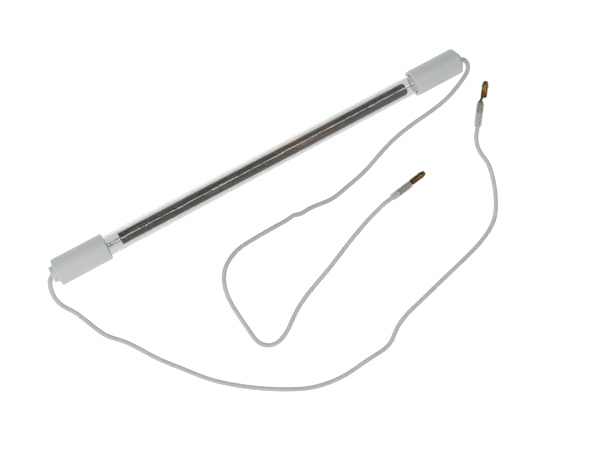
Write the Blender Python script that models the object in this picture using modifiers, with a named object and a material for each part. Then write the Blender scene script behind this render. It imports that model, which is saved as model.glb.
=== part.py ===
"""Quartz infrared heating element of a food warmer, the tube that a heat lamp warmer glows with.

A clear quartz tube holds a close-wound resistance coil. A turned ceramic cap closes each end,
and a flexible lead runs out of each cap to a brass bullet terminal with a sliding clear sleeve.

Frame: metres, the tube lies along X, +Z is up, the caps rest on z = 0 and x = 0 is halfway
between the caps. "left" is the -X end and "right" is the +X end.
"""

import math

import bmesh
import bpy
import numpy as np
from mathutils import Matrix, Vector

# clearances between touching pieces
GAP = 0.0003

# quartz tube and the end caps on it
TUBE_RADIUS = 0.0060
TUBE_BORE_RADIUS = 0.0050
TUBE_EXPOSED = 0.2025
TUBE_INSERTION = 0.0105
CAP_RADIUS = 0.0080
CAP_LENGTH = 0.0315
CAP_EDGE_ROUND = 0.0009
BOSS_RADIUS = 0.0048
BOSS_LENGTH = {"left": 0.0028, "right": 0.0020}
BOSS_EDGE_ROUND = 0.0006
SOCKET_RADIUS = TUBE_RADIUS + 0.00035
SOCKET_DEPTH = 0.0140
CHAMBER_RADIUS = 0.0034
CHAMBER_END = 0.0285

# the lead, its way out of the cap and its splice inside the cap
LEAD_RADIUS = 0.00135
WIRE_BORE_RADIUS = LEAD_RADIUS + 0.0004
MOUTH_ROUND = 0.0012
LEAD_START = 0.0250
CEMENT_RADIUS = TUBE_RADIUS
CEMENT_HOLE_RADIUS = 0.0013
BARREL_RADIUS = 0.0018
BARREL_BORE_RADIUS = 0.0012
BARREL_START = 0.0160
BARREL_LENGTH = 0.0070
SPLICE_MIDDLE = 0.0195
STRANDS_RADIUS = 0.00085

# heating coil, close wound: a hollow cylinder of its outer size
COIL_RADIUS = 0.0037
COIL_WIRE = 0.0007
COIL_LEFT_END = -0.0929
COIL_RIGHT_END = 0.0964
LEFT_TAIL_RADIUS = 0.00085
RIGHT_TAIL_RADIUS = 0.00035

# bullet terminal, measured along its own X from the rear of the bullet, +X to the tip
BULLET_RADIUS = 0.0020
BULLET_LENGTH = 0.0100
BULLET_BORE_RADIUS = 0.00165
BULLET_RISE = 0.0014
NOSE_START = 0.0072
NOSE_RADIUS = 0.00145
NOSE_BORE_RADIUS = 0.0008
GROOVE_CENTRE = 0.0060
GROOVE_HALF_WIDTH = 0.0004
GROOVE_DEPTH = 0.0002
STRIP_THICKNESS = 0.00035
STRIP_WIDTH = 0.0014
CRIMP_RADIUS = 0.0017
CRIMP_BORE_RADIUS = 0.00135
CRIMP_SLIT = 0.0004
WIRE_CRIMP = (-0.0057, -0.0029)
JACKET_CRIMP = (-0.0095, -0.0065)
TERMINAL_STRANDS_RADIUS = 0.0010
TERMINAL_STRANDS_END = -0.0027
LEAD_END = JACKET_CRIMP[0] - GAP

# clear sleeve that slides on each terminal
SLEEVE_RADIUS = 0.0024
SLEEVE_BORE_RADIUS = 0.0020
SLEEVE_LENGTH = 0.0144
SLEEVE_FRONT = {"left": -0.0039, "right": -0.0005}

# where the terminals lie: place of the bullet's rear on the crimp's axis, heading and roll
TERMINAL_PLACE = {"left": (0.1386, -0.0266), "right": (0.0744, -0.0521)}
TERMINAL_HEADING = {"left": math.radians(53.4), "right": math.radians(8.2)}
TERMINAL_ROLL = {"left": math.radians(90), "right": math.radians(-20)}

AXIS_HEIGHT = CAP_RADIUS
CAP_FACE = {"left": -TUBE_EXPOSED / 2, "right": TUBE_EXPOSED / 2}
OUTWARD = {"left": -1, "right": 1}
SIDES = ("left", "right")

# how finely round things are divided
TURN_STEPS = 36
SMALL_TURN_STEPS = 20
LEAD_STEP = 0.0060
LEAD_TURN_STEP = math.radians(24)

# routes of the leads in millimetres: x, y and height of the middle of the lead, from where it
# leaves the cap to the last bend before its terminal
LEAD_ROUTE = {
    "left": [
        (-133.6, 0, 8), (-136.9, -1.1, 6.8), (-139.8, -6.1, 4.6), (-140.6, -11.1, 2.5),
        (-139.4, -17, 1.5), (-135.8, -23, 1.5), (-129.5, -37, 1.4), (-125, -45.5, 1.4),
        (-120, -51, 1.4), (-115, -57.5, 1.4), (-107, -70, 1.4), (-98, -81.5, 1.4),
        (-86, -96, 1.4), (-75, -106, 1.4), (-63, -115, 1.4), (-51, -122.5, 1.4),
        (-38, -129, 1.4), (-25, -132.3, 1.4), (-12.5, -133, 1.4), (0, -132, 1.4),
        (10, -131.5, 1.4), (17, -130, 1.4), (23, -125.7, 1.4), (31, -121.2, 1.4),
        (45, -117.2, 1.4), (60, -113.4, 1.4), (82, -108, 1.4), (102, -101.3, 1.4),
        (110.5, -95.5, 1.4), (116, -87.5, 1.4), (122, -71.5, 1.4), (123, -63.5, 1.4),
        (122, -56.5, 1.6), (122.2, -51, 2),
    ],
    "right": [
        (133.9, 0, 8), (137.2, -1.2, 7.2), (139.4, -4.6, 5.1), (138.3, -8.4, 2.8),
        (134.8, -11, 1.7), (128.5, -14, 1.4), (121, -16.8, 1.4), (104, -20, 1.4),
        (86, -22.3, 1.4), (70, -26.3, 1.4), (51.5, -32.8, 1.4), (37, -36, 1.4),
        (26, -37.6, 1.4), (18, -36.8, 1.4), (0, -36, 1.4), (-27.5, -36.5, 1.4),
        (-36.5, -37.5, 1.4), (-44, -40.5, 1.4), (-49.5, -45, 1.4), (-53, -51.5, 1.4),
        (-54.6, -59, 1.4), (-54.6, -67, 1.4), (-53, -83.5, 1.4), (-51.8, -90, 1.4),
        (-48.3, -94.5, 1.4), (-42.3, -96.3, 1.4), (-36.7, -94.8, 1.4), (-24, -86.2, 1.4),
        (-9.2, -78.8, 1.4), (7, -72.6, 1.4), (22, -66.1, 1.4), (33.8, -61.4, 1.4),
        (42, -58.5, 1.6), (48, -56.7, 2.0),
    ],
}
# stations of the straight stretch behind each terminal, along the terminal's X
STRAIGHT_STATIONS = {"left": (-0.0245, -0.0200, -0.0150), "right": (-0.0210, -0.0180, -0.0150)}


def clear_scene():
    for old in list(bpy.data.objects):
        bpy.data.objects.remove(old)


def new_collection(name):
    made = bpy.data.collections.new(name)
    bpy.context.scene.collection.children.link(made)
    return made


def material(name, colour, roughness, metallic=0.0, transmission=0.0):
    made = bpy.data.materials.new(name)
    made.use_nodes = True
    shader = made.node_tree.nodes["Principled BSDF"]
    shader.inputs["Base Color"].default_value = (*colour, 1.0)
    shader.inputs["Roughness"].default_value = roughness
    shader.inputs["Metallic"].default_value = metallic
    shader.inputs["Transmission Weight"].default_value = transmission
    return made


def arc(centre, radius, start, end, steps=4):
    """Points of an arc in the (radius, height) plane, angles in degrees from the +radius axis."""
    angles = np.radians(np.linspace(start, end, steps + 1))
    return [
        (centre[0] + radius * math.cos(a), centre[1] + radius * math.sin(a)) for a in angles
    ]


def turned(name, profile, finish, steps=TURN_STEPS):
    """Turn a closed ring profile, or one that starts and ends on the axis, around local Z.

    The profile's (radius, height) points run down the outer side and up the inner side.
    """
    mesh = bpy.data.meshes.new(name)
    verts = [(radius, 0, height) for radius, height in profile]
    edges = [(i, i + 1) for i in range(len(verts) - 1)]
    if profile[0][0] > 0:
        edges.append((len(verts) - 1, 0))
    mesh.from_pydata(verts, edges, [])
    made = bpy.data.objects.new(name, mesh)
    turn = made.modifiers.new("turn", "SCREW")
    turn.axis = "Z"
    turn.angle = 2 * math.pi
    turn.steps = steps
    turn.render_steps = steps
    turn.use_merge_vertices = True
    turn.merge_threshold = 0.00001
    mesh.materials.append(finish)
    return made


def smooth(piece, sharp_over=35):
    """Replace a piece's mesh by its evaluated mesh, shaded smooth but for its sharp edges."""
    bpy.context.view_layer.update()
    graph = bpy.context.evaluated_depsgraph_get()
    mesh = bpy.data.meshes.new_from_object(piece.evaluated_get(graph))
    piece.modifiers.clear()
    piece.data = mesh
    mesh.shade_smooth()
    mesh.set_sharp_from_angle(angle=math.radians(sharp_over))
    return piece


def place(piece, collection, parent=None, location=(0, 0, 0), rotation=(0, 0, 0)):
    collection.objects.link(piece)
    piece.parent = parent
    piece.location = location
    piece.rotation_euler = rotation
    return piece


def along_x(side="right"):
    """Rotation that turns local Z to +X, or to -X for the left side."""
    return (0, OUTWARD[side] * math.pi / 2, 0)


def ring(outer, inner, low, high):
    return [(outer, high), (outer, low), (inner, low), (inner, high)]


def rod(radius, low, high):
    return [(0, high), (radius, high), (radius, low), (0, low)]


def quartz_tube_profile():
    half = TUBE_EXPOSED / 2 + TUBE_INSERTION
    wall = TUBE_RADIUS - TUBE_BORE_RADIUS
    edge = wall * 0.35
    middle_out = TUBE_RADIUS - edge
    middle_in = TUBE_BORE_RADIUS + edge
    return (
        arc((middle_out, half - edge), edge, 90, 0, 3)
        + arc((middle_out, edge - half), edge, 0, -90, 3)
        + arc((middle_in, edge - half), edge, -90, -180, 3)
        + arc((middle_in, half - edge), edge, 180, 90, 3)
    )


def cap_profile(side):
    """The cap stands on its front face at height 0, with the boss and its wire mouth on top."""
    top = CAP_LENGTH + BOSS_LENGTH[side]
    boss_corner = (BOSS_RADIUS - BOSS_EDGE_ROUND, top - BOSS_EDGE_ROUND)
    back_corner = (CAP_RADIUS - CAP_EDGE_ROUND, CAP_LENGTH - CAP_EDGE_ROUND)
    front_corner = (CAP_RADIUS - CAP_EDGE_ROUND, CAP_EDGE_ROUND)
    mouth_centre = (WIRE_BORE_RADIUS + MOUTH_ROUND, top - MOUTH_ROUND)
    outside = arc(boss_corner, BOSS_EDGE_ROUND, 90, 0)
    outside += [(BOSS_RADIUS, CAP_LENGTH)]
    outside += arc(back_corner, CAP_EDGE_ROUND, 90, 0)
    outside += arc(front_corner, CAP_EDGE_ROUND, 0, -90)
    inside = [
        (SOCKET_RADIUS, 0),
        (SOCKET_RADIUS, SOCKET_DEPTH),
        (CHAMBER_RADIUS, SOCKET_DEPTH),
        (CHAMBER_RADIUS, CHAMBER_END),
        (WIRE_BORE_RADIUS, CHAMBER_END),
    ]
    return outside + inside + arc(mouth_centre, MOUTH_ROUND, 180, 90)


def bullet_profile():
    """The bullet's rear is at height 0 and its truncated nose on top; it is open at both ends."""
    groove_low = GROOVE_CENTRE - GROOVE_HALF_WIDTH
    groove_high = GROOVE_CENTRE + GROOVE_HALF_WIDTH
    bottom_of_groove = BULLET_RADIUS - GROOVE_DEPTH
    nose_round = 0.0003
    nose_corner = (NOSE_RADIUS - nose_round, BULLET_LENGTH - nose_round)
    outside = arc(nose_corner, nose_round, 90, 15, 3)
    outside += [
        (BULLET_RADIUS, NOSE_START),
        (BULLET_RADIUS, groove_high),
        (bottom_of_groove, GROOVE_CENTRE),
        (BULLET_RADIUS, groove_low),
        (BULLET_RADIUS, 0),
    ]
    inside = [
        (BULLET_BORE_RADIUS, 0),
        (BULLET_BORE_RADIUS, NOSE_START),
        (NOSE_BORE_RADIUS, BULLET_LENGTH - 0.0006),
        (NOSE_BORE_RADIUS, BULLET_LENGTH),
    ]
    return outside + inside


def box(name, low, high, finish):
    mesh = bpy.data.meshes.new(name)
    shape = bmesh.new()
    bmesh.ops.create_cube(shape, size=1)
    size = Vector(high) - Vector(low)
    centre = (Vector(high) + Vector(low)) / 2
    bmesh.ops.transform(shape, matrix=Matrix.Diagonal((*size, 1)), verts=shape.verts)
    bmesh.ops.translate(shape, vec=centre, verts=shape.verts)
    shape.to_mesh(mesh)
    shape.free()
    mesh.materials.append(finish)
    return bpy.data.objects.new(name, mesh)


def side_strip(name, line, finish):
    """The neck strip: a sheet whose middle follows a line in the local XZ plane."""
    shape = bmesh.new()
    side = [shape.verts.new((x, -STRIP_WIDTH / 2, z)) for x, z in line]
    edges = [shape.edges.new(pair) for pair in zip(side, side[1:])]
    grown = bmesh.ops.extrude_edge_only(shape, edges=edges)["geom"]
    other_side = [item for item in grown if isinstance(item, bmesh.types.BMVert)]
    bmesh.ops.translate(shape, vec=(0, STRIP_WIDTH, 0), verts=other_side)
    mesh = bpy.data.meshes.new(name)
    shape.to_mesh(mesh)
    shape.free()
    mesh.materials.append(finish)
    strip = bpy.data.objects.new(name, mesh)
    thick = strip.modifiers.new("thickness", "SOLIDIFY")
    thick.thickness = STRIP_THICKNESS
    thick.offset = 0
    thick.use_even_offset = True
    return strip


def add_boolean(piece, other, operation):
    join = piece.modifiers.new(operation.lower(), "BOOLEAN")
    join.object = other
    join.operation = operation
    join.solver = "EXACT"


def as_cutter(piece):
    piece.hide_render = True
    piece.display_type = "WIRE"


def spline_through(points):
    """A natural cubic spline through the points, by chord length: returns a function of distance."""
    points = np.array(points, float)
    knots = np.concatenate([[0], np.cumsum(np.linalg.norm(np.diff(points, axis=0), axis=1))])
    count = len(points)
    step = np.diff(knots)
    system = np.eye(count)
    right_side = np.zeros((count, 3))
    for i in range(1, count - 1):
        system[i, i - 1] = step[i - 1]
        system[i, i] = 2 * (step[i - 1] + step[i])
        system[i, i + 1] = step[i]
        slope_after = (points[i + 1] - points[i]) / step[i]
        slope_before = (points[i] - points[i - 1]) / step[i - 1]
        right_side[i] = 6 * (slope_after - slope_before)
    bend = np.linalg.solve(system, right_side)

    def at(distance):
        i = int(np.clip(np.searchsorted(knots, distance) - 1, 0, count - 2))
        h = step[i]
        a = (knots[i + 1] - distance) / h
        b = 1 - a
        straight = a * points[i] + b * points[i + 1]
        return straight + ((a**3 - a) * bend[i] + (b**3 - b) * bend[i + 1]) * h * h / 6

    return at, knots[-1]


def lead_points(route):
    """Points along the smooth route: LEAD_STEP apart, and closer where the route bends."""
    at, length = spline_through(route)
    fine = [Vector(at(d)) for d in np.linspace(0, length, 3000)]
    kept = [fine[0]]
    heading = (fine[1] - fine[0]).normalized()
    for before, point in zip(fine, fine[1:]):
        now = (point - before).normalized()
        if (point - kept[-1]).length > LEAD_STEP or now.angle(heading) > LEAD_TURN_STEP:
            kept.append(point)
            heading = now
    if (fine[-1] - kept[-1]).length < LEAD_STEP / 2:
        kept.pop()
    return kept + [fine[-1]]


def lead_curve(name, points, finish):
    curve = bpy.data.curves.new(name, "CURVE")
    curve.dimensions = "3D"
    curve.bevel_depth = LEAD_RADIUS
    curve.bevel_resolution = 2
    curve.use_fill_caps = True
    line = curve.splines.new("POLY")
    line.points.add(len(points) - 1)
    for target, point in zip(line.points, points):
        target.co = (*point, 1)
    line.use_smooth = True
    curve.materials.append(finish)
    return bpy.data.objects.new(name, curve)


def cap_frame(side, collection):
    """An empty at the middle of a cap's front face, local Z pointing out of the object's end."""
    frame = bpy.data.objects.new(f"{side}_cap_frame", None)
    return place(
        frame, collection, location=(CAP_FACE[side], 0, AXIS_HEIGHT), rotation=along_x(side)
    )


def terminal_frame(side, collection):
    """An empty on the crimp's axis at the bullet's rear, local X pointing to the tip."""
    frame = bpy.data.objects.new(f"{side}_terminal_frame", None)
    return place(
        frame,
        collection,
        location=(*TERMINAL_PLACE[side], SLEEVE_RADIUS),
        rotation=(TERMINAL_ROLL[side], 0, TERMINAL_HEADING[side]),
    )


def build_tube_and_coil(parts, finishes):
    tube = turned("quartz_tube", quartz_tube_profile(), finishes["quartz"])
    place(tube, parts, location=(0, 0, AXIS_HEIGHT), rotation=along_x())
    smooth(tube)
    coil_profile = ring(COIL_RADIUS, COIL_RADIUS - COIL_WIRE, COIL_LEFT_END, COIL_RIGHT_END)
    coil = turned("heating_coil", coil_profile, finishes["coil"])
    place(coil, parts, location=(0, 0, AXIS_HEIGHT), rotation=along_x())
    smooth(coil)


def build_cap_end(side, parts, finishes):
    """The cap and what it hides: cement, the coil's tail, the splice and the lead's strands."""
    frame = cap_frame(side, parts)
    coil_end = {"left": COIL_LEFT_END, "right": COIL_RIGHT_END}[side]
    tail_radius = {"left": LEFT_TAIL_RADIUS, "right": RIGHT_TAIL_RADIUS}[side]
    tail_start = abs(coil_end) + GAP - abs(CAP_FACE[side])
    cement_start = TUBE_INSERTION + GAP
    pieces = {
        f"{side}_end_cap": (cap_profile(side), "ceramic", TURN_STEPS),
        f"{side}_cap_cement": (
            ring(CEMENT_RADIUS, CEMENT_HOLE_RADIUS, cement_start, SOCKET_DEPTH - GAP),
            "cement",
            TURN_STEPS,
        ),
        f"{side}_coil_tail": (
            rod(tail_radius, tail_start, SPLICE_MIDDLE - GAP),
            "coil",
            SMALL_TURN_STEPS,
        ),
        f"{side}_splice_barrel": (
            ring(BARREL_RADIUS, BARREL_BORE_RADIUS, BARREL_START, BARREL_START + BARREL_LENGTH),
            "steel",
            SMALL_TURN_STEPS,
        ),
        f"{side}_splice_strands": (
            rod(STRANDS_RADIUS, SPLICE_MIDDLE + GAP, LEAD_START - GAP),
            "tinned",
            SMALL_TURN_STEPS,
        ),
    }
    for name, (profile, finish, steps) in pieces.items():
        piece = turned(name, profile, finishes[finish], steps)
        place(piece, parts, parent=frame)
        smooth(piece)


def build_terminal(side, parts, cutters, finishes):
    """One stamped brass piece: bullet, neck strip, conductor crimp and jacket crimp."""
    frame = terminal_frame(side, parts)
    brass = finishes["brass"]
    bullet = turned(f"{side}_bullet_terminal", bullet_profile(), brass, SMALL_TURN_STEPS + 4)
    place(bullet, parts, parent=frame, location=(0, 0, BULLET_RISE), rotation=along_x())
    strip_low = BULLET_RISE - BULLET_RADIUS + STRIP_THICKNESS / 2
    crimp_low = -CRIMP_RADIUS + STRIP_THICKNESS * 0.8
    strip_line = [
        (0.0012, strip_low),
        (-0.0004, strip_low),
        (WIRE_CRIMP[1] + 0.0004, crimp_low),
        (JACKET_CRIMP[1] - 0.0004, crimp_low),
    ]
    joined = [side_strip(f"{side}_strip", strip_line, brass)]
    for label, (low, high) in {"wire": WIRE_CRIMP, "jacket": JACKET_CRIMP}.items():
        profile = ring(CRIMP_RADIUS, CRIMP_BORE_RADIUS, low, high)
        joined.append(turned(f"{side}_{label}_crimp", profile, brass, SMALL_TURN_STEPS))
    place(joined[0], cutters, parent=frame)
    place(joined[1], cutters, parent=frame, rotation=along_x())
    place(joined[2], cutters, parent=frame, rotation=along_x())
    slit = box(
        f"{side}_crimp_slit",
        (JACKET_CRIMP[0] - 0.001, -CRIMP_SLIT / 2, 0),
        (WIRE_CRIMP[1] + 0.0005, CRIMP_SLIT / 2, CRIMP_RADIUS + 0.0005),
        brass,
    )
    place(slit, cutters, parent=frame)
    for other in joined:
        as_cutter(other)
        add_boolean(bullet, other, "UNION")
    as_cutter(slit)
    add_boolean(bullet, slit, "DIFFERENCE")
    smooth(bullet)

    strands_profile = rod(TERMINAL_STRANDS_RADIUS, JACKET_CRIMP[0], TERMINAL_STRANDS_END)
    strands = turned(
        f"{side}_terminal_strands", strands_profile, finishes["tinned"], SMALL_TURN_STEPS
    )
    place(strands, parts, parent=frame, rotation=along_x())
    smooth(strands)

    sleeve_profile = ring(SLEEVE_RADIUS, SLEEVE_BORE_RADIUS, -SLEEVE_LENGTH, 0)
    sleeve = turned(f"{side}_terminal_sleeve", sleeve_profile, finishes["clear"])
    place(
        sleeve, parts, parent=frame, location=(SLEEVE_FRONT[side], 0, 0), rotation=along_x()
    )
    smooth(sleeve)


def build_lead(side, parts, finishes):
    start = abs(CAP_FACE[side]) + LEAD_START
    inside = [(OUTWARD[side] * (start + step), 0, AXIS_HEIGHT) for step in (0, 0.0042)]
    middle = [tuple(value / 1000 for value in point) for point in LEAD_ROUTE[side]]
    heading = Vector((math.cos(TERMINAL_HEADING[side]), math.sin(TERMINAL_HEADING[side]), 0))
    rear = Vector((*TERMINAL_PLACE[side], SLEEVE_RADIUS))
    straight = [tuple(rear + heading * station) for station in (*STRAIGHT_STATIONS[side], LEAD_END)]
    points = lead_points(inside + middle + straight)
    lead = lead_curve(f"{side}_lead_wire", points, finishes["silicone"])
    place(lead, parts)


def main():
    clear_scene()
    parts = new_collection("quartz_heating_element")
    cutters = new_collection("cutters")
    finishes = {
        "quartz": material("quartz_glass", (0.85, 0.87, 0.87), 0.03, transmission=1.0),
        "coil": material("resistance_wire", (0.10, 0.10, 0.09), 0.35, metallic=1.0),
        "ceramic": material("white_ceramic", (0.56, 0.57, 0.55), 0.55),
        "cement": material("ceramic_cement", (0.62, 0.60, 0.55), 0.9),
        "steel": material("plated_steel", (0.55, 0.55, 0.54), 0.35, metallic=1.0),
        "tinned": material("tinned_copper", (0.62, 0.61, 0.58), 0.35, metallic=1.0),
        "silicone": material("white_silicone", (0.50, 0.51, 0.50), 0.5),
        "brass": material("brass", (0.55, 0.40, 0.14), 0.3, metallic=1.0),
        "clear": material("clear_plastic", (0.80, 0.82, 0.82), 0.2, transmission=0.8),
    }
    build_tube_and_coil(parts, finishes)
    for side in SIDES:
        build_cap_end(side, parts, finishes)
        build_terminal(side, parts, cutters, finishes)
        build_lead(side, parts, finishes)


main()
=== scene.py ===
"""Looks of the quartz infrared heating element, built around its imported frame.

The frame's axes: +X along the tube to the right cap, +Z up from the table, leads on the -Y side.
Lengths are in metres unless a name says otherwise.
"""

import math

import bmesh
import bpy
import numpy as np
from mathutils import Matrix, Vector


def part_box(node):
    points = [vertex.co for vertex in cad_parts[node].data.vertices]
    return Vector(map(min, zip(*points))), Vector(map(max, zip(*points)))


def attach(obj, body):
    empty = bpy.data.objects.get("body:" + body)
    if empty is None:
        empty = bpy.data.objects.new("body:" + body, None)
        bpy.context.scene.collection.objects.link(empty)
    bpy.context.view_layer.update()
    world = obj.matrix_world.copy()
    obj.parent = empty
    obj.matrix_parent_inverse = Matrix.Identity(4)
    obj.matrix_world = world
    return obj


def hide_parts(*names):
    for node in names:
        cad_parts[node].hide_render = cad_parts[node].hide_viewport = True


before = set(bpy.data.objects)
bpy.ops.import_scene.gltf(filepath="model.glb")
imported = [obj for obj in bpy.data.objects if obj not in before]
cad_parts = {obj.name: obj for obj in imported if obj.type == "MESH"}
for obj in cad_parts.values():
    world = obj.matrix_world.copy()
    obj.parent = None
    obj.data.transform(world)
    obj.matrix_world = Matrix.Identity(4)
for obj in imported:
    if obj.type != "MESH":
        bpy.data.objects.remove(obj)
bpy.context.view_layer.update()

MM = 0.001
SIDES = ("left", "right")
OUTWARD = {"left": -1, "right": 1}

# ---------------------------------------------------------------- sizes, from the frame
TUBE_LOW, TUBE_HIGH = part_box("quartz_tube")
COIL_LOW, COIL_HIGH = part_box("heating_coil")
CAP_BOX = {side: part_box(f"{side}_end_cap") for side in SIDES}
AXIS_HEIGHT = (TUBE_LOW.z + TUBE_HIGH.z) / 2
TUBE_RADIUS = (TUBE_HIGH.z - TUBE_LOW.z) / 2
TUBE_HALF = TUBE_HIGH.x
COIL_RADIUS = (COIL_HIGH.z - COIL_LOW.z) / 2
CAP_RADIUS = CAP_BOX["right"][1].z / 2
CAP_FACE = CAP_BOX["right"][0].x
BOSS_END = {"left": -CAP_BOX["left"][0].x, "right": CAP_BOX["right"][1].x}

# ---------------------------------------------------------------- sizes that the frame can't give
TUBE_BORE_RADIUS = 5.0 * MM

# the winding, and how its right end draws in over its last turns
COIL_WIRE_RADIUS = 0.25 * MM
COIL_PITCH = 0.54 * MM
DRAWN_IN_TURNS = 3.0
DRAWN_IN_BY = 1.3 * MM
# it lies off the tube's axis towards the leads: the shift grows over a span from a start along X
COIL_SIDE_SHIFT = 0.35 * MM
SIDE_SHIFT_START = -40 * MM
SIDE_SHIFT_SPAN = 60 * MM

# the left tail's three wires: how far each lies from the twist's axis in the cap, how much farther
# in the open, and the depth in the cap where the loosening starts, with its span
TWIST_WIRE_RADIUS = 0.40 * MM
TWIST_PITCH = 2.2 * MM
TWIST_REACH = 0.42 * MM
TWIST_LOOSENING = 0.36 * MM
LOOSENING_DEPTH = 8 * MM
LOOSENING_SPAN = 6 * MM
TWIST_START_IN_COIL = 1.5 * MM

# the caps, from the front face: depths run outwards
CAP_LENGTH = 31.5 * MM
CAP_EDGE = 0.9 * MM
BOSS_RADIUS = 4.8 * MM
BOSS_EDGE = 0.6 * MM
BOSS_FILLET = 0.35 * MM
SOCKET_RADIUS = 6.35 * MM
SOCKET_DEPTH = 14.0 * MM
SOCKET_LIP = 0.3 * MM
# the first stretch of the socket is narrower, and widens between these depths
MOUTH_RADIUS = 6.1 * MM
MOUTH_DEPTHS = (1.2 * MM, 1.5 * MM)
CHAMBER_RADIUS = 3.4 * MM
CHAMBER_END = 28.5 * MM
SPLICE_MIDDLE = 19.2 * MM
WIRE_BORE_RADIUS = 1.75 * MM
WIRE_BORE_ROUND = 1.2 * MM

# the cement, depths as in the caps
CEMENT_START = 10.8 * MM
CEMENT_END = 13.7 * MM
CEMENT_HOLE_RADIUS = 1.3 * MM
PLUG_FACE = -0.3 * MM
PLUG_RADIUS = 4.85 * MM

# the leads: where the jacket starts in the cap, and where it ends behind the bullet's rear
LEAD_RADIUS = 1.35 * MM
LEAD_START = 25.0 * MM
LEAD_END = -9.8 * MM

# the terminals and their sleeves; along a terminal, 0 is the bullet's rear
TERMINAL_PLACE = {"left": (0.1386, -0.0266), "right": (0.0744, -0.0521)}
TERMINAL_HEADING = {"left": math.radians(53.4), "right": math.radians(8.2)}
TERMINAL_ROLL = {"left": math.radians(90), "right": math.radians(-20)}
SHEET_THICKNESS_IN_MM = 0.32
SLEEVE_RADIUS = 2.4 * MM
SLEEVE_BORE_RADIUS = 2.0 * MM
SLEEVE_LENGTH = 14.4 * MM
SLEEVE_FRONT = {"left": -3.9 * MM, "right": -0.5 * MM}
COLLAR_SLACK = 0.12 * MM
COLLAR_LIP = 0.3 * MM
# the collar's length, and where the bore has its full width, both from the sleeve's rear
COLLAR_DEPTHS = (1.6 * MM, 2.6 * MM)
STRAND_RADIUS = 0.19 * MM
STRANDS_FROM, STRANDS_TO = -9.6 * MM, -2.45 * MM

# ---------------------------------------------------------------- routes of the leads, millimetres
LEAD_ROUTE = {
    "left": [
        (-133.6, 0, 8), (-136.9, -1.1, 6.8), (-139.8, -6.1, 4.6), (-140.6, -11.1, 2.5),
        (-139.4, -17, 1.5), (-135.8, -23, 1.5), (-129.5, -37, 1.4), (-125, -45.5, 1.4),
        (-120, -51, 1.4), (-115, -57.5, 1.4), (-107, -70, 1.4), (-98, -81.5, 1.4),
        (-86, -96, 1.4), (-75, -106, 1.4), (-63, -115, 1.4), (-51, -122.5, 1.4),
        (-38, -129, 1.4), (-25, -132.3, 1.4), (-12.5, -133, 1.4), (0, -132, 1.4),
        (10, -131.5, 1.4), (17, -130, 1.4), (23, -125.7, 1.4), (31, -121.2, 1.4),
        (45, -117.2, 1.4), (60, -113.4, 1.4), (82, -108, 1.4), (102, -101.3, 1.4),
        (110.5, -95.5, 1.4), (116, -87.5, 1.4), (122, -71.5, 1.4), (123, -63.5, 1.4),
        (122, -56.5, 1.6), (122.2, -51, 2),
    ],
    "right": [
        (133.9, 0, 8), (137.2, -1.2, 7.2), (139.4, -4.6, 5.1), (138.3, -8.4, 2.8),
        (134.8, -11, 1.7), (128.5, -14, 1.4), (121, -16.8, 1.4), (104, -20, 1.4),
        (86, -22.3, 1.4), (70, -26.3, 1.4), (51.5, -32.8, 1.4), (37, -36, 1.4),
        (26, -37.6, 1.4), (18, -36.8, 1.4), (0, -36, 1.4), (-27.5, -36.5, 1.4),
        (-36.5, -37.5, 1.4), (-44, -40.5, 1.4), (-49.5, -45, 1.4), (-53, -51.5, 1.4),
        (-54.6, -59, 1.4), (-54.6, -67, 1.4), (-53, -83.5, 1.4), (-51.8, -90, 1.4),
        (-48.3, -94.5, 1.4), (-42.3, -96.3, 1.4), (-36.7, -94.8, 1.4), (-24, -86.2, 1.4),
        (-9.2, -78.8, 1.4), (7, -72.6, 1.4), (22, -66.1, 1.4), (33.8, -61.4, 1.4),
        (42, -58.5, 1.6), (48, -56.7, 2.0),
    ],
}
# the straight stretch before each terminal, along the terminal
STRAIGHT_STATIONS = {
    "left": (-24.5 * MM, -20.0 * MM, -15.0 * MM),
    "right": (-21.0 * MM, -18.0 * MM, -15.0 * MM),
}
# a small kink in the first run of the right lead: where it is along X, how far it reaches, how
# far it bends the lead, and the Y that parts the first run from the way back
NIP_X = 4.3 * MM
NIP_REACH = 4.0 * MM
NIP_SHIFT = 1.3 * MM
FIRST_RUN_ABOVE = -38 * MM

# ---------------------------------------------------------------- local tints: middle and reach
# painted shade: a bluer, darker stretch of the right lead
LEAD_SHADE_MIDDLE = (-0.010, -0.037, 0)
LEAD_SHADE_REACH = (0.075, 0.020, 0.020)
# the stretch of the coil tinted brown and violet
WARM_MIDDLE = (0.031, 0, 0.008)
WARM_REACH = (0.030, 0.030, 0.030)
# painted shade: dark red-brown on the rear end of the left bullet
REAR_SHADE_MIDDLE = (0.1390, -0.0260, 0.0024)
REAR_SHADE_REACH = (0.0045, 0.0045, 0.0045)
# the dull front of the left wire crimp
DULL_MIDDLE = (0.1352, -0.0308, 0.0022)
DULL_REACH = (0.0050, 0.0050, 0.0050)
# painted shadow: a greyer side of the tube towards the leads, fading between these two places
# along Y
FLANK_SHADOW_FULL, FLANK_SHADOW_NONE = -5.3 * MM, -4.7 * MM

# ---------------------------------------------------------------- camera
# the lens in millimetres, for a 36 mm wide sensor
CAMERA_PLACE = Vector((-0.0927, -0.0086, 0.5849))
CAMERA_AIM = Vector((0.0031, -0.0420, 0.0))
CAMERA_UP = Vector((0.4728, 0.8808, 0.0272))
CAMERA_LENS = 60.3


def add_camera():
    """The camera that looks down on the part, turned so that CAMERA_UP is up in the picture."""
    data = bpy.data.cameras.new("camera")
    data.lens = CAMERA_LENS
    data.sensor_width = 36
    data.clip_start = 0.01
    camera = bpy.data.objects.new("camera", data)
    bpy.context.scene.collection.objects.link(camera)
    back = (CAMERA_PLACE - CAMERA_AIM).normalized()
    right = CAMERA_UP.cross(back).normalized()
    up = back.cross(right)
    turn = Matrix((right, up, back)).transposed()
    camera.matrix_world = Matrix.Translation(CAMERA_PLACE) @ turn.to_4x4()
    bpy.context.scene.camera = camera


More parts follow.
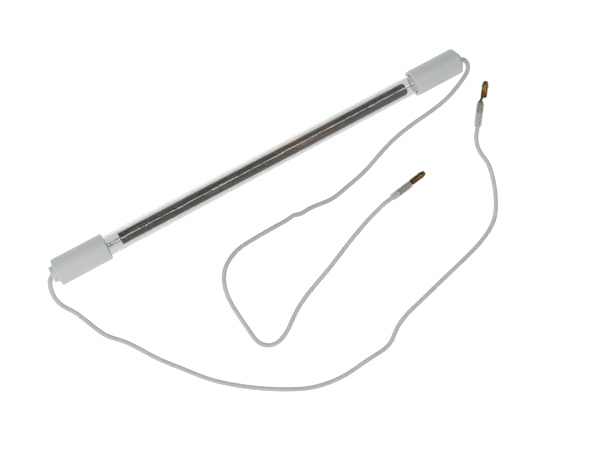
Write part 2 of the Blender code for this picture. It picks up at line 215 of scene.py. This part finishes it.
# ---------------------------------------------------------------- node materials
def add_map_range(tree, value, ends, out):
    """A map-range node in tree that takes value from ends to out; returns its output."""
    node = tree.nodes.new("ShaderNodeMapRange")
    for key, number in zip(("From Min", "From Max", "To Min", "To Max"), (*ends, *out)):
        node.inputs[key].default_value = number
    tree.links.new(value, node.inputs["Value"])
    return node.outputs["Result"]


class Nodes:
    """A material's node tree with short calls for the nodes that the materials below share."""

    def __init__(self, name):
        self.material = bpy.data.materials.new(name)
        self.material.use_nodes = True
        self.tree = self.material.node_tree
        self.shader = self.tree.nodes["Principled BSDF"]

    def add(self, kind, **settings):
        node = self.tree.nodes.new(kind)
        for key, value in settings.items():
            setattr(node, key, value)
        return node

    def link(self, source, target):
        self.tree.links.new(source, target)

    def set(self, **values):
        """Constants on the shader's sockets, with underscores for the spaces in their names."""
        for key, value in values.items():
            self.shader.inputs[key.replace("_", " ")].default_value = value

    def coordinates(self, scale=(1, 1, 1)):
        """Object coordinates stretched by scale."""
        place = self.add("ShaderNodeTexCoord")
        mapping = self.add("ShaderNodeMapping")
        mapping.inputs["Scale"].default_value = scale
        self.link(place.outputs["Object"], mapping.inputs["Vector"])
        return mapping.outputs["Vector"]

    def noise(self, scale, detail=4, stretch=(1, 1, 1), roughness=0.5):
        node = self.add("ShaderNodeTexNoise")
        node.inputs["Scale"].default_value = scale
        node.inputs["Detail"].default_value = detail
        node.inputs["Roughness"].default_value = roughness
        self.link(self.coordinates(stretch), node.inputs["Vector"])
        return node.outputs["Fac"]

    def ramp(self, value, stops):
        node = self.add("ShaderNodeValToRGB")
        elements = node.color_ramp.elements
        while len(elements) < len(stops):
            elements.new(0.5)
        for element, (position, colour) in zip(elements, stops):
            element.position = position
            element.color = (*colour, 1)
        self.link(value, node.inputs["Fac"])
        return node.outputs["Color"]

    def map_range(self, value, low, high, out_low, out_high):
        return add_map_range(self.tree, value, (low, high), (out_low, out_high))

    def mix(self, factor, first, second, blend="MIX"):
        node = self.add("ShaderNodeMix", data_type="RGBA", blend_type=blend)
        for socket, value in (("Factor_Float", factor), ("A_Color", first), ("B_Color", second)):
            target = next(s for s in node.inputs if s.identifier == socket)
            if isinstance(value, bpy.types.NodeSocket):
                self.link(value, target)
            else:
                target.default_value = value
        return next(s for s in node.outputs if s.identifier == "Result_Color")

    def near(self, middle, reach):
        """1 at middle, falling to 0 at reach along each axis."""
        place = self.add("ShaderNodeTexCoord")
        spot = self.add("ShaderNodeMapping", vector_type="TEXTURE")
        spot.inputs["Location"].default_value = middle
        spot.inputs["Scale"].default_value = reach
        self.link(place.outputs["Object"], spot.inputs["Vector"])
        fade = self.add("ShaderNodeTexGradient", gradient_type="SPHERICAL")
        self.link(spot.outputs["Vector"], fade.inputs["Vector"])
        return fade.outputs["Fac"]

    def colour(self, output):
        self.link(output, self.shader.inputs["Base Color"])

    def roughness(self, output):
        self.link(output, self.shader.inputs["Roughness"])

    def bump(self, height, strength, distance):
        node = self.add("ShaderNodeBump")
        node.inputs["Strength"].default_value = strength
        node.inputs["Distance"].default_value = distance
        self.link(height, node.inputs["Height"])
        self.link(node.outputs["Normal"], self.shader.inputs["Normal"])


def quartz_material():
    """Clear glass, tinted grey as painted shade of the table seen through it, with a greyer side
    towards the leads as painted shadow.
    """
    m = Nodes("quartz_glass_clear")
    m.set(Transmission_Weight=1.0, IOR=1.46)
    clouds = m.noise(40, detail=2, stretch=(0.2, 1, 1))
    # painted shade: the grey tint darkens what is seen through the glass, for the shaded table
    # under the tube
    clear = m.ramp(clouds, [(0.3, (0.72, 0.735, 0.73)), (0.7, (0.76, 0.765, 0.76))])
    place = m.add("ShaderNodeTexCoord")
    axes = m.add("ShaderNodeSeparateXYZ")
    m.link(place.outputs["Object"], axes.inputs["Vector"])
    # painted shadow: the side towards the leads is tinted greyer, for the tube's shadow on the
    # table at that edge
    edge_shadow = m.map_range(axes.outputs["Y"], FLANK_SHADOW_FULL, FLANK_SHADOW_NONE, 1.0, 0.0)
    m.colour(m.mix(edge_shadow, clear, (0.58, 0.585, 0.60, 1)))
    m.set(Roughness=0.0)
    return m.material


def wire_material():
    """Resistance wire: dark olive oxide, tinted brown and violet on one stretch."""
    m = Nodes("resistance_wire_oxide")
    m.set(Metallic=0.9)
    drift = m.noise(22, detail=3, stretch=(1, 0.3, 0.3))
    oxide = m.ramp(drift, [(0.35, (0.165, 0.172, 0.138)), (0.65, (0.20, 0.208, 0.192))])
    # brown and violet tint, strongest around one stretch of the coil
    brown_violet = m.ramp(drift, [(0.4, (0.33, 0.22, 0.14)), (0.6, (0.26, 0.20, 0.22))])
    warm = m.near(WARM_MIDDLE, WARM_REACH)
    tints = m.mix(m.map_range(warm, 0.0, 0.6, 0.0, 0.8), oxide, brown_violet)
    m.colour(tints)
    specks = m.noise(1500, detail=2)
    m.roughness(m.map_range(specks, 0.3, 0.7, 0.12, 0.17))
    return m.material


def tail_material():
    """The left tail outside the heated coil: the same wire with hardly any oxide."""
    m = Nodes("resistance_wire_tail")
    m.set(Specular_IOR_Level=0.3, Roughness=0.6)
    drift = m.noise(300, detail=3)
    m.colour(m.ramp(drift, [(0.35, (0.50, 0.50, 0.49)), (0.65, (0.60, 0.60, 0.59))]))
    return m.material


def ceramic_material():
    """Fine steatite: pale grey with faint clouding and a dry, even grain."""
    m = Nodes("cap_steatite")
    m.set(IOR=1.5)
    clouds = m.noise(32, detail=3)
    base = m.ramp(clouds, [(0.35, (0.475, 0.505, 0.51)), (0.65, (0.52, 0.52, 0.51))])
    specks = m.noise(700, detail=1)
    dots = m.ramp(specks, [(0.22, (0.90, 0.89, 0.87)), (0.30, (1, 1, 1))])
    m.colour(m.mix(1.0, base, dots, "MULTIPLY"))
    grain = m.noise(2200, detail=5, roughness=0.65)
    m.roughness(m.map_range(grain, 0.3, 0.7, 0.36, 0.48))
    m.bump(grain, 0.2, 0.03 * MM)
    return m.material


def cement_material():
    """Dry, crumbly filler, pale with a green cast."""
    m = Nodes("cap_cement_dry")
    crumbs = m.noise(1400, detail=6, roughness=0.7)
    m.colour(m.ramp(crumbs, [(0.3, (0.60, 0.61, 0.56)), (0.7, (0.76, 0.77, 0.73))]))
    m.set(Roughness=0.92)
    m.bump(crumbs, 0.8, 0.2 * MM)
    return m.material


def silicone_material():
    """Lead jacket: satin silicone, handled and faintly cloudy, with painted shade, bluer and
    darker, on one stretch of the right lead.
    """
    m = Nodes("lead_silicone")
    m.set(IOR=1.41, Specular_IOR_Level=0.25)
    clouds = m.noise(45, detail=4)
    greys = [
        (0.32, (0.46, 0.475, 0.475)),
        (0.5, (0.485, 0.495, 0.49)),
        (0.7, (0.51, 0.515, 0.505)),
    ]
    base = m.ramp(clouds, greys)
    # painted shade: a bluer, darker tint on one stretch of the right lead
    lead_shade = m.map_range(m.near(LEAD_SHADE_MIDDLE, LEAD_SHADE_REACH), 0.0, 0.5, 0.0, 0.8)
    base = m.mix(lead_shade, base, (0.40, 0.43, 0.475, 1))
    dust = m.noise(1500, detail=3)
    grime = m.ramp(dust, [(0.3, (0.92, 0.92, 0.91)), (0.5, (1, 1, 1))])
    m.colour(m.mix(1.0, base, grime, "MULTIPLY"))
    m.roughness(m.map_range(dust, 0.3, 0.7, 0.45, 0.60))
    m.bump(dust, 0.1, 0.02 * MM)
    return m.material


def brass_material():
    """Rolled brass, dull olive gold, grey on the left bullet's crimp, with painted shade in dark
    red-brown at its rear.
    """
    m = Nodes("terminal_brass")
    m.set(Metallic=1.0)
    tarnish = m.noise(110, detail=2)
    base = m.ramp(tarnish, [(0.35, (0.16, 0.095, 0.024)), (0.65, (0.25, 0.175, 0.048))])
    # painted shade: dark red-brown on the left bullet's rear end
    rear_shade_mask = m.map_range(m.near(REAR_SHADE_MIDDLE, REAR_SHADE_REACH), 0.15, 0.45, 0.0, 0.85)
    rear_shaded_base = m.mix(rear_shade_mask, base, (0.085, 0.028, 0.008, 1))
    dull = m.map_range(m.near(DULL_MIDDLE, DULL_REACH), 0.1, 0.4, 0.0, 0.9)
    m.colour(m.mix(dull, rear_shaded_base, (0.10, 0.095, 0.06, 1)))
    scuffs = m.noise(900, detail=2)
    m.roughness(m.map_range(scuffs, 0.3, 0.7, 0.30, 0.38))
    return m.material


def sleeve_material():
    """Soft plastic, see-through but milky with handling."""
    m = Nodes("sleeve_clear")
    m.set(IOR=1.4, Alpha=0.36)
    haze = m.noise(160, detail=2)
    m.colour(m.ramp(haze, [(0.3, (0.34, 0.345, 0.34)), (0.7, (0.39, 0.395, 0.385))]))
    m.roughness(m.map_range(haze, 0.3, 0.7, 0.30, 0.40))
    return m.material


def tinned_material():
    """Tinned copper strands with a satin drawn surface."""
    m = Nodes("tinned_wire")
    m.set(Metallic=1.0)
    streaks = m.noise(900, detail=3)
    m.colour(m.ramp(streaks, [(0.3, (0.44, 0.42, 0.38)), (0.7, (0.60, 0.59, 0.56))]))
    m.roughness(m.map_range(streaks, 0.3, 0.7, 0.40, 0.55))
    return m.material


def steel_material():
    """Plated steel with scuffs, for the splice barrels in the caps."""
    m = Nodes("splice_plated_steel")
    m.set(Metallic=1.0)
    scuffs = m.noise(1200, detail=4)
    m.colour(m.ramp(scuffs, [(0.3, (0.42, 0.42, 0.42)), (0.7, (0.58, 0.58, 0.57))]))
    m.roughness(m.map_range(scuffs, 0.3, 0.7, 0.25, 0.5))
    m.bump(scuffs, 0.2, 0.02 * MM)
    return m.material


# ---------------------------------------------------------------- mesh helpers
def new_mesh_object(name, verts, faces, finish, sharp_over=40):
    """A smooth-shaded object from verts and faces, with edges over sharp_over degrees sharp."""
    mesh = bpy.data.meshes.new(name)
    mesh.from_pydata([tuple(v) for v in verts], [], faces)
    mesh.validate()
    shape = bmesh.new()
    shape.from_mesh(mesh)
    bmesh.ops.recalc_face_normals(shape, faces=shape.faces)
    shape.to_mesh(mesh)
    shape.free()
    mesh.shade_smooth()
    mesh.set_sharp_from_angle(angle=math.radians(sharp_over))
    mesh.materials.append(finish)
    made = bpy.data.objects.new(name, mesh)
    bpy.context.scene.collection.objects.link(made)
    return made


def arc(centre, radius, start, end, steps=8):
    """Points of an arc in the (radius, height) plane, angles in degrees from the +radius axis."""
    angles = np.radians(np.linspace(start, end, steps + 1))
    return [(centre[0] + radius * math.cos(a), centre[1] + radius * math.sin(a)) for a in angles]


def lathe(name, profile, place, finish, steps=128, sharp_over=40):
    """Turn a closed (radius, height) ring profile around local Z and put it at place."""
    verts = []
    faces = []
    count = len(profile)
    for k in range(steps):
        angle = 2 * math.pi * k / steps
        for radius, height in profile:
            point = Vector((radius * math.cos(angle), radius * math.sin(angle), height))
            verts.append(place @ point)
    for k in range(steps):
        here, there = k * count, ((k + 1) % steps) * count
        for i in range(count):
            j = (i + 1) % count
            faces.append((here + i, here + j, there + j, there + i))
    return new_mesh_object(name, verts, faces, finish, sharp_over)


def sweep(points, radius, sides=8):
    """Verts and faces of a round wire along points, with rotation-minimising frames and caps."""
    points = [Vector(p) for p in points]
    tangents = []
    for i in range(len(points)):
        before, after = points[max(i - 1, 0)], points[min(i + 1, len(points) - 1)]
        tangents.append((after - before).normalized())
    normal = tangents[0].orthogonal().normalized()
    verts = []
    faces = []
    for i, (point, tangent) in enumerate(zip(points, tangents)):
        normal = (normal - tangent * normal.dot(tangent)).normalized()
        side = tangent.cross(normal)
        width = radius(i) if callable(radius) else radius
        for k in range(sides):
            angle = 2 * math.pi * k / sides
            verts.append(point + (normal * math.cos(angle) + side * math.sin(angle)) * width)
    for i in range(len(points) - 1):
        for k in range(sides):
            a, b = i * sides + k, i * sides + (k + 1) % sides
            faces.append((a, b, b + sides, a + sides))
    faces.append(tuple(range(sides))[::-1])
    last = (len(points) - 1) * sides
    faces.append(tuple(range(last, last + sides)))
    return verts, faces


def wires(name, paths, radius, finish, sides=8):
    """One piece made of several round wires."""
    verts = []
    faces = []
    for path in paths:
        new_verts, new_faces = sweep(path, radius, sides)
        faces += [tuple(i + len(verts) for i in face) for face in new_faces]
        verts += new_verts
    return new_mesh_object(name, verts, faces, finish, sharp_over=60)


def spline_through(points):
    """A natural cubic spline through points, by chord length.

    Returns a function from a distance along it to the point there, and the whole length.
    """
    points = np.array(points, float)
    knots = np.concatenate([[0], np.cumsum(np.linalg.norm(np.diff(points, axis=0), axis=1))])
    count = len(points)
    step = np.diff(knots)
    system = np.eye(count)
    right_side = np.zeros((count, 3))
    for i in range(1, count - 1):
        system[i, i - 1] = step[i - 1]
        system[i, i] = 2 * (step[i - 1] + step[i])
        system[i, i + 1] = step[i]
        slope_after = (points[i + 1] - points[i]) / step[i]
        slope_before = (points[i] - points[i - 1]) / step[i - 1]
        right_side[i] = 6 * (slope_after - slope_before)
    bend = np.linalg.solve(system, right_side)

    def at(distance):
        i = int(np.clip(np.searchsorted(knots, distance) - 1, 0, count - 2))
        h = step[i]
        a = (knots[i + 1] - distance) / h
        b = 1 - a
        straight = a * points[i] + b * points[i + 1]
        return straight + ((a**3 - a) * bend[i] + (b**3 - b) * bend[i + 1]) * h * h / 6

    return at, knots[-1]


def cap_frame(side):
    """Placement of a cap's front face, local Z pointing out of the object's end."""
    sign = OUTWARD[side]
    turn = Matrix.Rotation(sign * math.pi / 2, 4, "Y")
    return Matrix.Translation((sign * CAP_FACE, 0, AXIS_HEIGHT)) @ turn


def terminal_frame(side):
    """Placement of a terminal: the bullet's rear on the crimp's axis, local X to the tip."""
    place = Matrix.Translation((*TERMINAL_PLACE[side], SLEEVE_RADIUS))
    heading = Matrix.Rotation(TERMINAL_HEADING[side], 4, "Z")
    return place @ heading @ Matrix.Rotation(TERMINAL_ROLL[side], 4, "X")


Z_TO_X = Matrix.Rotation(math.pi / 2, 4, "Y")


# ---------------------------------------------------------------- pieces
def make_lead(side, finish):
    """The jacket from inside the cap, along its route, to the terminal's jacket crimp."""
    sign = OUTWARD[side]
    inside = [
        (sign * (CAP_FACE + LEAD_START + step), 0, AXIS_HEIGHT) for step in (0, 4.2 * MM)
    ]
    middle = [tuple(value * MM for value in point) for point in LEAD_ROUTE[side]]
    heading = Vector((math.cos(TERMINAL_HEADING[side]), math.sin(TERMINAL_HEADING[side]), 0))
    rear = Vector((*TERMINAL_PLACE[side], SLEEVE_RADIUS))
    stations = (*STRAIGHT_STATIONS[side], LEAD_END)
    straight = [tuple(rear + heading * station) for station in stations]
    at, length = spline_through(inside + middle + straight)
    curve = bpy.data.curves.new(f"{side}_lead_jacket", "CURVE")
    curve.dimensions = "3D"
    curve.bevel_depth = LEAD_RADIUS
    curve.bevel_resolution = 5
    curve.use_fill_caps = True
    stations = np.linspace(0, length, 420)
    line = curve.splines.new("POLY")
    line.points.add(len(stations) - 1)
    for target, station in zip(line.points, stations):
        point = at(station)
        if side == "right" and point[1] > FIRST_RUN_ABOVE:
            offset = (point[0] - NIP_X) / NIP_REACH
            point[1] -= NIP_SHIFT * offset * math.exp(-offset * offset)
        target.co = (*point, 1)
    line.use_smooth = True
    curve.materials.append(finish)
    lead = bpy.data.objects.new(f"{side}_lead_jacket", curve)
    bpy.context.scene.collection.objects.link(lead)
    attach(lead, "element")
    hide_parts(f"{side}_lead_wire")
    return lead


def make_quartz_tube(finish):
    """The tube with fire-polished ends; it casts no shadow, so the lamps reach the coil."""
    wall = TUBE_RADIUS - TUBE_BORE_RADIUS
    edge = wall * 0.45
    outer = TUBE_RADIUS - edge
    inner = TUBE_BORE_RADIUS + edge
    end = TUBE_HALF - edge
    profile = (
        arc((outer, end), edge, 90, 0)
        + arc((outer, -end), edge, 0, -90)
        + arc((inner, -end), edge, -90, -180)
        + arc((inner, end), edge, 180, 90)
    )
    place = Matrix.Translation((0, 0, AXIS_HEIGHT)) @ Z_TO_X
    tube = lathe("quartz_glass_tube", profile, place, finish, steps=192, sharp_over=60)
    tube.visible_shadow = False
    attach(tube, "element")
    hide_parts("quartz_tube")


def make_coil(finish):
    """The close winding, turn by turn; its right end draws in to the straight tail."""
    radius = COIL_RADIUS - COIL_WIRE_RADIUS
    low = COIL_LOW.x + COIL_WIRE_RADIUS
    high = COIL_HIGH.x - COIL_WIRE_RADIUS
    turns = round((high - low) / COIL_PITCH)
    per_turn = 32
    points = []
    for k in range(turns * per_turn + 1):
        turn = k / per_turn
        angle = 2 * math.pi * turn
        closing = max(0.0, (turn - (turns - DRAWN_IN_TURNS)) / DRAWN_IN_TURNS)
        reach = radius - DRAWN_IN_BY * closing * closing
        x = low + (high - low) * turn / turns
        shifted = min(1.0, max(0.0, (x - SIDE_SHIFT_START) / SIDE_SHIFT_SPAN))
        y = reach * math.cos(angle) - COIL_SIDE_SHIFT * shifted
        points.append((x, y, AXIS_HEIGHT + reach * math.sin(angle)))
    coil = wires("heating_coil_winding", [points], COIL_WIRE_RADIUS, finish, sides=6)
    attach(coil, "element")
    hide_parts("heating_coil")


def make_left_tail(finish):
    """Three wires twisted together, from inside the coil to the splice."""
    start, end = COIL_LOW.x + TWIST_START_IN_COIL, -(CAP_FACE + SPLICE_MIDDLE)
    paths = []
    for phase in (0, 2 * math.pi / 3, 4 * math.pi / 3):
        path = []
        for x in np.arange(start, end, -0.1 * MM):
            angle = phase + 2 * math.pi * (start - x) / TWIST_PITCH
            loose = min(1.0, max(0.0, (x + CAP_FACE + LOOSENING_DEPTH) / LOOSENING_SPAN))
            reach = TWIST_REACH + TWIST_LOOSENING * loose
            path.append((x, reach * math.cos(angle), AXIS_HEIGHT + reach * math.sin(angle)))
        paths.append(path)
    tail = wires("left_coil_tail_twist", paths, TWIST_WIRE_RADIUS, finish, sides=10)
    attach(tail, "element")
    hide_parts("left_coil_tail")


def make_right_tail(finish):
    """One wire, from the rim of the coil's drawn-in end to the splice."""
    start, end = COIL_HIGH.x, CAP_FACE + SPLICE_MIDDLE
    rim = ((-0.5 * MM, 2.0 * MM), (-0.1 * MM, 1.2 * MM), (0.5 * MM, 0.3 * MM), (1.4 * MM, 0.0))
    route = [(start + along, -COIL_SIDE_SHIFT, AXIS_HEIGHT + up) for along, up in rim]
    route += [(start + 8 * MM, 0, AXIS_HEIGHT), (end, 0, AXIS_HEIGHT)]
    at, length = spline_through(route)
    path = [tuple(at(d)) for d in np.linspace(0, length, 90)]
    tail = wires("right_coil_tail_wire", [path], COIL_WIRE_RADIUS, finish, sides=12)
    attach(tail, "element")
    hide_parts("right_coil_tail")


def make_cap(side, finish):
    """Turned cap: boss, shoulder and barrel outside; socket, chamber and wire bore inside."""
    top = BOSS_END[side] - CAP_FACE
    fillet = (BOSS_RADIUS + BOSS_FILLET, CAP_LENGTH + BOSS_FILLET)
    profile = arc((BOSS_RADIUS - BOSS_EDGE, top - BOSS_EDGE), BOSS_EDGE, 90, 0)
    profile += arc(fillet, BOSS_FILLET, 180, 270, 5)
    profile += arc((CAP_RADIUS - CAP_EDGE, CAP_LENGTH - CAP_EDGE), CAP_EDGE, 90, 0)
    profile += arc((CAP_RADIUS - CAP_EDGE, CAP_EDGE), CAP_EDGE, 0, -90)
    profile += arc((MOUTH_RADIUS + SOCKET_LIP, SOCKET_LIP), SOCKET_LIP, 270, 180, 5)
    profile += [
        (MOUTH_RADIUS, MOUTH_DEPTHS[0]),
        (SOCKET_RADIUS, MOUTH_DEPTHS[1]),
        (SOCKET_RADIUS, SOCKET_DEPTH),
        (CHAMBER_RADIUS, SOCKET_DEPTH),
        (CHAMBER_RADIUS, CHAMBER_END),
        (WIRE_BORE_RADIUS, CHAMBER_END),
    ]
    bore_end = (WIRE_BORE_RADIUS + WIRE_BORE_ROUND, top - WIRE_BORE_ROUND)
    profile += arc(bore_end, WIRE_BORE_ROUND, 180, 90)
    cap = lathe(f"{side}_ceramic_cap", profile, cap_frame(side), finish, steps=144)
    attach(cap, "element")
    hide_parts(f"{side}_end_cap")


def make_cement(side, finish):
    """Cement behind the tube's end, and the plug of it that fills the tube up to the mouth."""
    edge = 0.3 * MM
    profile = [
        (CEMENT_HOLE_RADIUS, CEMENT_END),
        (TUBE_RADIUS, CEMENT_END),
        (TUBE_RADIUS, CEMENT_START),
        (PLUG_RADIUS, CEMENT_START),
    ]
    profile += arc((PLUG_RADIUS - edge, PLUG_FACE + edge), edge, 0, -90, 5)
    profile += arc((CEMENT_HOLE_RADIUS + edge, PLUG_FACE + edge), edge, 270, 180, 5)
    cement = lathe(f"{side}_cement_plug", profile, cap_frame(side), finish, steps=96)
    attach(cement, "element")
    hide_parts(f"{side}_cap_cement")


def make_sleeve(side, finish):
    """Clear sleeve with rolled ends and a tighter collar at the rear, close around the lead.

    Like the tube it casts no shadow, so the lamps reach the terminal inside.
    """
    lip = (SLEEVE_RADIUS - SLEEVE_BORE_RADIUS) / 2
    middle = SLEEVE_RADIUS - lip
    collar = LEAD_RADIUS + COLLAR_SLACK
    rear = -SLEEVE_LENGTH
    collar_front, bore_rear = (rear + depth for depth in COLLAR_DEPTHS)
    profile = (
        arc((middle, -lip), lip, 90, 0, 5)
        + arc((SLEEVE_RADIUS - COLLAR_LIP, rear + COLLAR_LIP), COLLAR_LIP, 0, -90, 5)
        + arc((collar + COLLAR_LIP, rear + COLLAR_LIP), COLLAR_LIP, -90, -180, 5)
        + [(collar, collar_front), (SLEEVE_BORE_RADIUS, bore_rear)]
        + arc((middle, -lip), lip, 180, 90, 5)
    )
    place = terminal_frame(side) @ Matrix.Translation((SLEEVE_FRONT[side], 0, 0)) @ Z_TO_X
    sleeve = lathe(f"{side}_clear_sleeve", profile, place, finish, steps=96, sharp_over=60)
    sleeve.visible_shadow = False
    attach(sleeve, f"{side}_sleeve")
    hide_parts(f"{side}_terminal_sleeve")
    return sleeve


def terminal_stations():
    """Sections of the rolled terminal, rear to tip, in millimetres and degrees.

    Each is (x, height of the roll's middle, its radius, how far it wraps up each side from its
    bottom, how far its meeting edges curl in).
    """
    rise = 1.4
    closed = 177
    jacket_crimp = [(x, 0, 1.72, 172, 0) for x in (-9.5, -9.35, -6.7, -6.5)]
    waist = [(-6.45, 0, 1.66, 80, 0), (-6.3, 0, 1.6, 62, 0), (-5.9, 0, 1.6, 62, 0)]
    wire_crimp = [(-5.75, 0, 1.66, 90, 0)]
    wire_crimp += [(x, 0, 1.68, 174, 0.42) for x in (-5.7, -5.5, -3.1, -2.9)]
    neck = [(-2.85, 0.02, 1.62, 100, 0), (-2.6, 0.1, 1.5, 90, 0), (-1.9, 0.45, 1.4, 84, 0)]
    neck += [(-1.2, 0.85, 1.4, 82, 0), (-0.5, 1.2, 1.6, 78, 0), (-0.06, 1.37, 1.8, 76, 0)]
    bullet = [(0.0, rise, 1.82, 120, 0), (0.12, rise, 1.88, 166, 0), (0.5, rise, 1.9, 174, 0)]
    bullet += [(x, rise, 1.92, closed, 0) for x in (2.2, 4.2, 5.2)]
    for x in np.linspace(5.3, 5.9, 7):
        groove = 0.16 * (0.5 + 0.5 * math.cos(math.pi * (x - 5.6) / 0.3))
        bullet.append((x, rise, 1.92 - groove, closed, 0))
    bulge = ((6.1, 2.02), (6.5, 2.1), (7.5, 2.0), (8.6, 1.72))
    nose = [(x, rise, radius, closed, 0) for x, radius in bulge]
    for angle in np.radians(np.linspace(20, 85, 7)):
        radius = 0.9 + 0.68 * math.cos(angle)
        nose.append((9.3 + 0.7 * math.sin(angle), rise, radius, closed, 0))
    return jacket_crimp + waist + wire_crimp + neck + bullet + nose


def terminal_section(station, inset, across):
    """Points across the sheet at a station, in millimetres, inset from its outer side."""
    x, middle, radius, wrap, curl = station
    points = []
    for k in range(across + 1):
        angle = math.radians(wrap * (2 * k / across - 1))
        tuck = curl * radius * math.exp(-(((abs(math.degrees(angle)) - 180) / 26) ** 2))
        reach = radius - inset - tuck
        points.append(Vector((x, reach * math.sin(angle), middle - reach * math.cos(angle))))
    return points


def make_terminal(side, finish):
    """One rolled sheet from the jacket crimp to the bullet's tip, with its seam left open."""
    across = 48
    place = terminal_frame(side)
    stations = terminal_stations()
    verts = []
    for inset in (0.0, SHEET_THICKNESS_IN_MM):
        for station in stations:
            verts += [place @ (point * MM) for point in terminal_section(station, inset, across)]
    rows, row = len(stations), across + 1
    inner = rows * row
    faces = []
    for i in range(rows - 1):
        for k in range(across):
            a, b = i * row + k, (i + 1) * row + k
            faces.append((a, a + 1, b + 1, b))
            faces.append((inner + a, inner + b, inner + b + 1, inner + a + 1))
        for k in (0, across):
            a, b = i * row + k, (i + 1) * row + k
            faces.append((a, b, inner + b, inner + a))
    for i in (0, rows - 1):
        for k in range(across):
            a = i * row + k
            faces.append((a, a + 1, inner + a + 1, inner + a))
    terminal = new_mesh_object(f"{side}_rolled_bullet", verts, faces, finish, sharp_over=38)
    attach(terminal, "element")
    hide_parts(f"{side}_bullet_terminal")
    return terminal


def make_strands(side, finish):
    """The conductor where it is bare in the terminal: nineteen strands, two layers on a core."""
    place = terminal_frame(side)
    paths = [[place @ Vector((x, 0, 0)) for x in (STRANDS_FROM, STRANDS_TO)]]
    for count, layer, pitch in ((6, 0.40 * MM, 14 * MM), (12, 0.79 * MM, 18 * MM)):
        for n in range(count):
            path = []
            for x in np.linspace(STRANDS_FROM, STRANDS_TO, 14):
                angle = 2 * math.pi * (n / count + x / pitch)
                point = Vector((x, layer * math.cos(angle), layer * math.sin(angle)))
                path.append(place @ point)
            paths.append(path)
    strands = wires(f"{side}_crimped_strands", paths, STRAND_RADIUS, finish, sides=8)
    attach(strands, "element")
    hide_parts(f"{side}_terminal_strands")
    return strands


# ---------------------------------------------------------------- stage
def add_stage():
    """A floor bright enough to stay plain white, just under the part."""
    bpy.ops.mesh.primitive_plane_add(size=8, location=(0, 0, -0.2 * MM))
    floor = bpy.context.object
    floor.name = "floor"
    m = Nodes("pale_floor")
    m.set(Base_Color=(0.35, 0.35, 0.35, 1), Roughness=0.9)
    m.set(Emission_Color=(1, 1, 1, 1), Emission_Strength=0.85)
    floor.data.materials.append(m.material)


def add_area_light(name, place, aim, size, watts, size_y=None):
    """A square lamp of side size, or a strip of size by size_y, turned towards aim."""
    data = bpy.data.lights.new(name, "AREA")
    data.energy = watts
    data.size = size
    if size_y:
        data.shape = "RECTANGLE"
        data.size_y = size_y
    light = bpy.data.objects.new(name, data)
    light.location = place
    light.rotation_euler = (Vector(aim) - Vector(place)).to_track_quat("-Z", "Y").to_euler()
    bpy.context.scene.collection.objects.link(light)


def add_world():
    """A dim room: darkest overhead, paler at the horizon and on the side of the leads."""
    world = bpy.data.worlds.new("studio")
    world.use_nodes = True
    tree = world.node_tree
    direction = tree.nodes.new("ShaderNodeTexCoord")
    axes = tree.nodes.new("ShaderNodeSeparateXYZ")
    tree.links.new(direction.outputs["Generated"], axes.inputs["Vector"])
    by_height = add_map_range(tree, axes.outputs["Z"], (0, 1), (0.62, 0.15))
    by_side = add_map_range(tree, axes.outputs["Y"], (-1, 1), (1.45, 0.55))
    level = tree.nodes.new("ShaderNodeMath")
    level.operation = "MULTIPLY"
    tree.links.new(by_height, level.inputs[0])
    tree.links.new(by_side, level.inputs[1])
    background = tree.nodes["Background"]
    background.inputs["Color"].default_value = (0.985, 1.0, 0.99, 1)
    tree.links.new(level.outputs["Value"], background.inputs["Strength"])
    bpy.context.scene.world = world


def add_lights():
    add_area_light("strip_above", (-0.04, 0.02, 0.9), (-0.04, 0.02, 0), 1.6, 4.4, size_y=0.06)
    add_area_light("softbox_front", (-0.5, -0.4, 0.5), (0, -0.04, 0), 0.4, 1.8)
    add_area_light("softbox_back", (-0.6, 0.7, 0.8), (0, -0.02, 0), 0.5, 2.4)
    add_world()
    bpy.context.scene.view_settings.view_transform = "Standard"


def dress_kept_nodes(finishes):
    """Materials for the CAD's own splices, which stay hidden in the caps."""
    for side in SIDES:
        for node, finish in (("splice_barrel", "steel"), ("splice_strands", "tinned")):
            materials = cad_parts[f"{side}_{node}"].data.materials
            materials.clear()
            materials.append(finishes[finish])


def main():
    add_camera()
    finishes = {
        "quartz": quartz_material(),
        "wire": wire_material(),
        "tail": tail_material(),
        "ceramic": ceramic_material(),
        "cement": cement_material(),
        "silicone": silicone_material(),
        "brass": brass_material(),
        "sleeve": sleeve_material(),
        "tinned": tinned_material(),
        "steel": steel_material(),
    }
    dress_kept_nodes(finishes)
    make_quartz_tube(finishes["quartz"])
    make_coil(finishes["wire"])
    make_left_tail(finishes["tail"])
    make_right_tail(finishes["wire"])
    for side in SIDES:
        make_cap(side, finishes["ceramic"])
        make_cement(side, finishes["cement"])
        lead = make_lead(side, finishes["silicone"])
        sleeve = make_sleeve(side, finishes["sleeve"])
        terminal = make_terminal(side, finishes["brass"])
        strands = make_strands(side, finishes["tinned"])
    add_stage()
    add_lights()


main()
